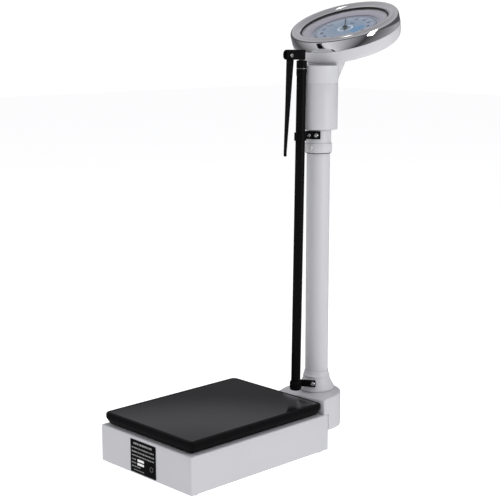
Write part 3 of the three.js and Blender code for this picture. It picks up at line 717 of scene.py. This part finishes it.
def dial_face():
    surround = rounded([(73, -9.6, 0.4), (94, -5.4, 1.5), (114.5, -5.4), (114.5, -7.4), (94.4, -7.4),
                        (73, -11.6, 0.3)])
    emit("dial_surround_satin", lathe(surround, 160), DIAL, "base", RIM, ["dial_surround"])
    plate = [(4, -13.4), (78, -13.4), (78, -12.2), (4, -12.2)]
    emit("dial_plate_printed", lathe(plate, 160), DIAL, "base", PAPER, ["dial_plate"])


def lettering(text, size, depth):
    """Numerals as a solid mesh, centred on the origin, lying in XY."""
    curve = bpy.data.curves.new("letters", "FONT")
    curve.body = text
    curve.size = size
    curve.align_x = "CENTER"
    curve.align_y = "CENTER"
    curve.extrude = depth / 2
    curve.resolution_u = 3
    curve.offset = size * 0.02
    holder = bpy.data.objects.new("letters", curve)
    bpy.context.scene.collection.objects.link(holder)
    graph = bpy.context.evaluated_depsgraph_get()
    data = bpy.data.meshes.new_from_object(holder.evaluated_get(graph))
    body = bmesh.new()
    body.from_mesh(data)
    bpy.data.objects.remove(holder)
    bpy.data.curves.remove(curve)
    bpy.data.meshes.remove(data)
    return body


def bearing(value):
    """Angle in the dial plane, anticlockwise from its right, at which the pointer shows value."""
    return math.pi / 2 - NEEDLE_REST - SCALE_SWEEP * value / FULL_SCALE


def dial_prints():
    height = -12.15
    depth = 0.1
    tick_end = 68.5
    ticks = []
    numerals = []
    for value in range(FULL_SCALE + 1):
        angle = bearing(value)
        long = value % 10 == 0
        mid = value % 5 == 0
        inner = 59 if long else 61.5 if mid else 64
        width = 1.2 if long else 0.8 if mid else 0.4
        tick = block(inner, tick_end, -width / 2, width / 2, height, height + depth)
        ticks.append(moved(tick, turn(angle, "Z")))
        if long:
            place = turn(angle - math.pi / 2, "Z") @ shift(0, 51.5, height + depth / 2)
            numerals.append(moved(lettering(str(value), 10.5, depth), place))
    high = height + depth
    ring = lathe([(tick_end, height), (69.4, height), (69.4, high), (tick_end, high)], 160)
    emit("dial_ticks", gather([ring] + ticks), DIAL, "base", INK_DARK)
    emit("dial_numerals", gather(numerals), DIAL, "base", INK_DARK)
    halo = lathe([(13.5, height), (17.5, height), (17.5, height + 0.08), (13.5, height + 0.08)], 96)
    emit("dial_halo", halo, DIAL, "base", INK_PALE)
    outline = list(arc((0, 0), 44, math.radians(-34), math.radians(26), 24))
    outline += list(arc((0, 0), 19, math.radians(26), math.radians(-34), 16))
    emit("dial_sector", prism(outline, height, height + 0.07), DIAL, "base", INK_BLUE)
    unit = moved(lettering("kg", 11, depth), shift(0, 30, height + depth / 2))
    emit("dial_unit", unit, DIAL, "base", INK_DARK)


def pointer():
    outline = [(-1.5, -17), (1.5, -17), (2.2, -13), (0.9, -6), (1.3, 0), (0.55, 52), (0, 61), (-0.55, 52),
               (-1.3, 0), (-0.9, -6), (-2.2, -13)]
    needle = carve(prism(outline, -9, -8.2), ("join", bar(0, 0, -9, -8.25, 6, 48)))
    emit("pointer_blade", needle, NEEDLE, "pointer", BLACK, ["pointer_needle"], bevel=0.12)
    cap = [(0, -7.9)] + rounded([(4.4, -7.9, 0.2), (4.3, -7.0, 0.5), (2.6, -6.2, 0.6)]) + [(0, -6.2)]
    emit("pointer_cap_turned", lathe(cap, 48), NEEDLE, "pointer", BLACK, ["pointer_cap"])


# ------------------------------------------------------------------ height rod
def tube(z0, z1, outer, inner):
    return lathe(rounded([(inner, z0), (outer, z0, 0.5), (outer, z1, 0.5), (inner, z1)]), 64)


def rod_tubes():
    emit("rod_outer_tube_black", tube(4.3, 690, 10.2, 8.7), RODS, "base", BLACK, ["rod_outer_tube"])
    nut = rounded([(10.5, 678.7), (10.7, 678.7), (11.1, 682, 1), (11.1, 692.6, 0.6), (10.7, 693.4),
                   (8.6, 693.4), (8.6, 690.3), (10.5, 690.3)])
    emit("rod_outer_collar_black", lathe(nut, 64), RODS, "base", BLACK, ["rod_outer_collar"])
    washer = rounded([(8.6, 693.7), (11, 693.7, 0.3), (11, 694.6, 0.3), (8.6, 694.6)])
    emit("rod_washer_bright", lathe(washer, 64), RODS, "base", STEEL, ["rod_washer"])
    middle = tube(30, 700, 8.3, 6.8)
    emit("rod_middle_tube_black", middle, RODS, "rod_middle", BLACK, ["rod_middle_tube"])
    knob = rounded([(8.6, 694.9), (10.8, 694.9, 0.2), (11.1, 695.6), (11.1, 709.6, 0.7), (10.4, 710.8),
                    (6.7, 710.8), (6.7, 700.3), (8.6, 700.3)])
    emit("rod_middle_collar_black", lathe(knob, 64), RODS, "rod_middle", BLACK,
         ["rod_middle_collar"])
    emit("rod_inner_tube_black", tube(50, 712, 6.4, 5), RODS, "rod_inner", BLACK, ["rod_inner_tube"])


def rod_graduations():
    """Centimetre marks on the two sliding tubes, on their front."""
    for name, body, radius, first, top in (("middle", "rod_middle", 8.3, 120, 690),
                                           ("inner", "rod_inner", 6.4, 140, 700)):
        marks = []
        count = int((top - first) / 10)
        for i in range(count):
            z = top - 10 * i
            half_width = 0.5 if i % 10 == 0 else 0.36 if i % 5 == 0 else 0.22
            angles = [math.radians(-90) - half_width + 2 * half_width * k / 6 for k in range(7)]
            outer = [((radius + 0.1) * math.cos(a), (radius + 0.1) * math.sin(a)) for a in angles]
            inner = [((radius - 0.1) * math.cos(a), (radius - 0.1) * math.sin(a)) for a in reversed(angles)]
            marks.append(prism(outer + inner, z, z + 0.5))
        emit(f"rod_{name}_marks", gather(marks), RODS, body, INK_WHITE)


def hinge_block():
    front = PIVOT[0] - 11
    outline = list(arc((front + 9.5, 733 - 9.5), 9.5, math.radians(180), math.radians(90), 10))
    outline += [(-0.5, 733), (-0.5, 712.3)]
    outline += list(arc((front + 8, 712.3 + 8), 8, math.radians(270), math.radians(180), 10))
    cheek = moved(prism(outline, -7, 7), SIDEWAYS)
    body = carve(cheek, ("join", bar(0, 0, 712.3, 733, 7.5, 48)),
                 ("cut", block(-2.9, 2.9, front - 2, PIVOT[0] + 13, 700, 740)),
                 ("cut", cross_pin(-10, 10, PIVOT[0], PIVOT[1], 2.9)))
    emit("hinge_block_black", body, RODS, "rod_inner", BLACK, ["hinge_block"], bevel=0.5)
    pin = carve(cross_pin(-7.2, 7.6, PIVOT[0], PIVOT[1], 2.6),
                ("join", cross_pin(7.3, 8.3, PIVOT[0], PIVOT[1], 4)))
    emit("pivot_pin_bright", pin, RODS, "rod_inner", STEEL, ["pivot_pin"], bevel=0.25)


def measuring_arm():
    place = RODS @ shift(0, PIVOT[0], PIVOT[1])
    outline = list(arc((0, 0), 8, math.radians(10), math.radians(195), 16))
    outline += [(-6.4, -9), (-8.8, -93), (-13.2, -199)]
    outline += list(arc((-10.8, -205.8), 2.6, math.radians(180), math.radians(360), 10))
    outline += [(-8.2, -199), (3, -93), (11.2, -14), (11.4, -9)]
    body = carve(moved(prism(outline, -2.5, 2.5), SIDEWAYS), ("cut", cross_pin(-5, 5, 0, 0, 3)))
    upright = shift(*place.to_translation())
    emit("measuring_arm_black", body, upright, "arm", BLACK, ["measuring_arm"], bevel=0.7)


def rod_socket():
    to_column = ON_COLUMN.inverted() @ RODS
    side = rounded([(8.5, 0), (11.6, 1.2, 1.5), (12.9, 4.5, 2), (12.9, 17.5, 1), (12, 20, 0.5), (10.5, 20)])
    cup = lathe([(0, 0)] + side + [(10.5, 4), (0, 4)], 64)
    plate = moved(prism(rectangle(46.5, 15.2, 2.2, 5, (17.75, 135.9)), 37, 40.5), ON_LUG)
    rib = block(38, 47, -42, -30, 128.3, 143.5)
    slot = moved(prism(rectangle(9.7, 5.4, 2.6, 6, (2.35, 135.9)), 30, 45), ON_LUG)
    lug = carve(plate, ("join", rib), ("cut", slot))
    body = carve(moved(lug, turn(SOCKET_ANGLE, "Z")), ("join", moved(cup, to_column)),
                 ("cut", moved(bar(0, 0, 4, 40, 10.5, 64), to_column)))
    emit("rod_socket_black", body, ON_COLUMN, "base", BLACK, ["rod_socket"], bevel=0.5)
    bracket_screw("socket_screw", SOCKET_ANGLE, 40.8, 0, 135.9, 4.6, 6)


def rod_clamp():
    to_column = ON_COLUMN.inverted() @ RODS
    low = 668 - ROD_FOOT[2]
    band = lathe(rounded([(10.5, low), (13, low, 0.6), (13, low + 17, 0.6), (10.5, low + 17)]), 64)
    plate = moved(prism(rectangle(44.8, 17, 1.6, 5, (13.6, 678.5)), 27.5, 30.5), ON_LUG)
    rib = block(29, 37, -38, -24, 670, 685)
    holes = [("cut", moved(bar(along, 678, 20, 40, 2.3, 24), ON_LUG)) for along in (0, 15.3)]
    lug = carve(plate, ("join", rib), *holes)
    body = carve(moved(lug, turn(CLAMP_ANGLE, "Z")), ("join", moved(band, to_column)),
                 ("cut", moved(bar(0, 0, low - 5, low + 30, 10.5, 64), to_column)))
    emit("rod_clamp_black", body, ON_COLUMN, "base", BLACK, ["rod_clamp"], bevel=0.5)
    bracket_screw("clamp_screw", CLAMP_ANGLE, 30.8, 0, 678, 4.6, 3)
    bracket_screw("clamp_pinch_screw", CLAMP_ANGLE, 30.8, 15.3, 678, 3.6, 3)


def bracket_screw(name, azimuth, reach, along, z, radius, shank):
    place = ON_COLUMN @ turn(azimuth, "Z") @ shift(reach, -along, z) @ ALONG_X
    emit(f"{name}_bright", screw(radius, 2.4, radius * 0.4, shank), place, "base", STEEL, [name])


# ------------------------------------------------------------------ hidden works keep their CAD shape
def finish_cad_nodes():
    finishes = {"paint": PAINT, "platform_black": TREAD_BLACK, "black": BLACK, "pointer_black": BLACK,
                "chrome": CHROME, "steel": STEEL, "iron": IRON, "rubber": RUBBER, "glass": GLASS,
                "dial_blue": PAPER, "dial_grey": RIM, "brass": BRASS}
    slots = {entry["node"]: entry["material_slot"] for entry in frame["record"]["subparts"]}
    for name, node in frame["nodes"].items():
        node.data.materials.clear()
        node.data.materials.append(finishes[slots[name]])


# ------------------------------------------------------------------ studio
FLOOR_GLOW = 0.68
FLOOR_REACH = 12000
ROOM_LIGHT = 0.8
BACKDROP_LIGHT = 1.05
EYE = (1869.8, -1491.7, 907.1)
LOOK = (-0.7108, 0.6801, -0.1799)
ROLL = math.radians(-0.06)
LENS = 88.41
SENSOR = 36


def grey(level):
    return (level, level, level * 1.04)


# a plain grey room, as (position, colour): from eye level straight up, and all round below eye level
HIGH_ROOM = [(0.5, grey(0.10)), (0.60, grey(0.12)), (0.70, grey(0.60)), (1.0, grey(0.40))]
LOW_ROOM = [(0.0, grey(0.10)), (0.25, grey(0.90)), (0.5, grey(0.05)), (0.75, grey(0.50)), (1.0, grey(0.10))]


def floor():
    """Plain pale floor. Mirror-like surfaces look past it at the room."""
    piece = to_object(block(-FLOOR_REACH, FLOOR_REACH, -FLOOR_REACH, FLOOR_REACH, -20, 0), "floor")
    piece.data.transform(Matrix.Scale(MM, 4))
    piece.visible_glossy = False
    material, bsdf = shader("floor_pale", (0.8, 0.8, 0.8), 0.95, 0.0, 0.0)
    bsdf.inputs["Emission Color"].default_value = (1, 1, 1, 1)
    bsdf.inputs["Emission Strength"].default_value = FLOOR_GLOW
    piece.data.materials.append(material)


def world():
    """A white backdrop that only the camera sees, and the room that the scale is lit by and reflects."""
    scene = bpy.context.scene
    scene.world = bpy.data.worlds.new("studio")
    scene.world.use_nodes = True
    tree = scene.world.node_tree
    links = tree.links
    room = tree.nodes["Background"]
    room.inputs["Strength"].default_value = ROOM_LIGHT
    place = tree.nodes.new("ShaderNodeTexCoord")
    split = tree.nodes.new("ShaderNodeSeparateXYZ")
    links.new(place.outputs["Generated"], split.inputs[0])
    around = tree.nodes.new("ShaderNodeTexGradient")
    around.gradient_type = "RADIAL"
    links.new(place.outputs["Generated"], around.inputs["Vector"])

    def shades(value, stops):
        node = tree.nodes.new("ShaderNodeValToRGB")
        fill_ramp(node, stops)
        links.new(value, node.inputs["Fac"])
        return node.outputs["Color"]

    low = shades(around.outputs["Fac"], LOW_ROOM)
    lift = tree.nodes.new("ShaderNodeMapRange")
    lift.inputs["From Min"].default_value = -1
    links.new(split.outputs["Z"], lift.inputs["Value"])
    high = shades(lift.outputs["Result"], HIGH_ROOM)
    choose = tree.nodes.new("ShaderNodeMix")
    choose.data_type = "RGBA"
    blend = tree.nodes.new("ShaderNodeMapRange")
    blend.inputs["From Min"].default_value = -0.02
    blend.inputs["From Max"].default_value = 0.02
    links.new(split.outputs["Z"], blend.inputs["Value"])
    # the Mix node's sockets by number: 0 is the factor, 6 and 7 are the two colours, and 2 is the result
    links.new(blend.outputs["Result"], choose.inputs[0])
    links.new(low, choose.inputs[6])
    links.new(high, choose.inputs[7])
    links.new(choose.outputs[2], room.inputs["Color"])
    path = tree.nodes.new("ShaderNodeLightPath")
    mix = tree.nodes.new("ShaderNodeMixShader")
    backdrop = tree.nodes.new("ShaderNodeBackground")
    backdrop.inputs["Color"].default_value = (1, 1, 1, 1)
    backdrop.inputs["Strength"].default_value = BACKDROP_LIGHT
    links.new(path.outputs["Is Camera Ray"], mix.inputs["Fac"])
    links.new(room.outputs[0], mix.inputs[1])
    links.new(backdrop.outputs[0], mix.inputs[2])
    links.new(mix.outputs[0], tree.nodes["World Output"].inputs["Surface"])


def softbox(name, position, target, size, power, mirrored=True):
    """Area light. mirrored=False keeps it out of reflections, so it adds only diffuse light."""
    data = bpy.data.lights.new(name, "AREA")
    data.shape = "RECTANGLE"
    data.size, data.size_y = size
    data.energy = power
    lamp = bpy.data.objects.new(name, data)
    bpy.context.scene.collection.objects.link(lamp)
    lamp.visible_glossy = mirrored
    lamp.location = position
    lamp.rotation_euler = (Vector(target) - Vector(position)).to_track_quat("-Z", "Y").to_euler()


def camera():
    data = bpy.data.cameras.new("camera")
    data.sensor_width = SENSOR
    data.lens = LENS
    data.clip_end = 60
    eye = bpy.data.objects.new("camera", data)
    bpy.context.scene.collection.objects.link(eye)
    eye.location = MODEL @ Vector(EYE) * MM
    level = Vector(LOOK).to_track_quat("-Z", "Y").to_matrix().to_4x4()
    eye.rotation_euler = (level @ turn(ROLL, "Z")).to_euler()
    bpy.context.scene.camera = eye


def studio():
    floor()
    world()
    softbox("key", (2.75, 0.45, 1.1), (0, 0, 0.6), (0.8, 2.0), 27)
    softbox("fill", (-2.5, -2.1, 1.3), (0, 0, 0.5), (2.0, 2.0), 27, mirrored=False)
    softbox("top", (0.2, -0.4, 3.2), (0, 0, 0.3), (2.4, 2.4), 26, mirrored=False)
    softbox("strip", (-0.15, -0.25, 3.0), (0, 0, 0.9), (0.7, 0.25), 1.0)
    camera()
    view = bpy.context.scene.view_settings
    view.view_transform = "Standard"
    view.look = "None"


studio()
finish_cad_nodes()
base_shell()
feet()
nameplate()
platform()
riser()
column()
collar_screw()
head_sleeve()
head_housing()
bezel()
dial_face()
dial_prints()
pointer()
rod_tubes()
rod_graduations()
hinge_block()
measuring_arm()
rod_socket()
rod_clamp()
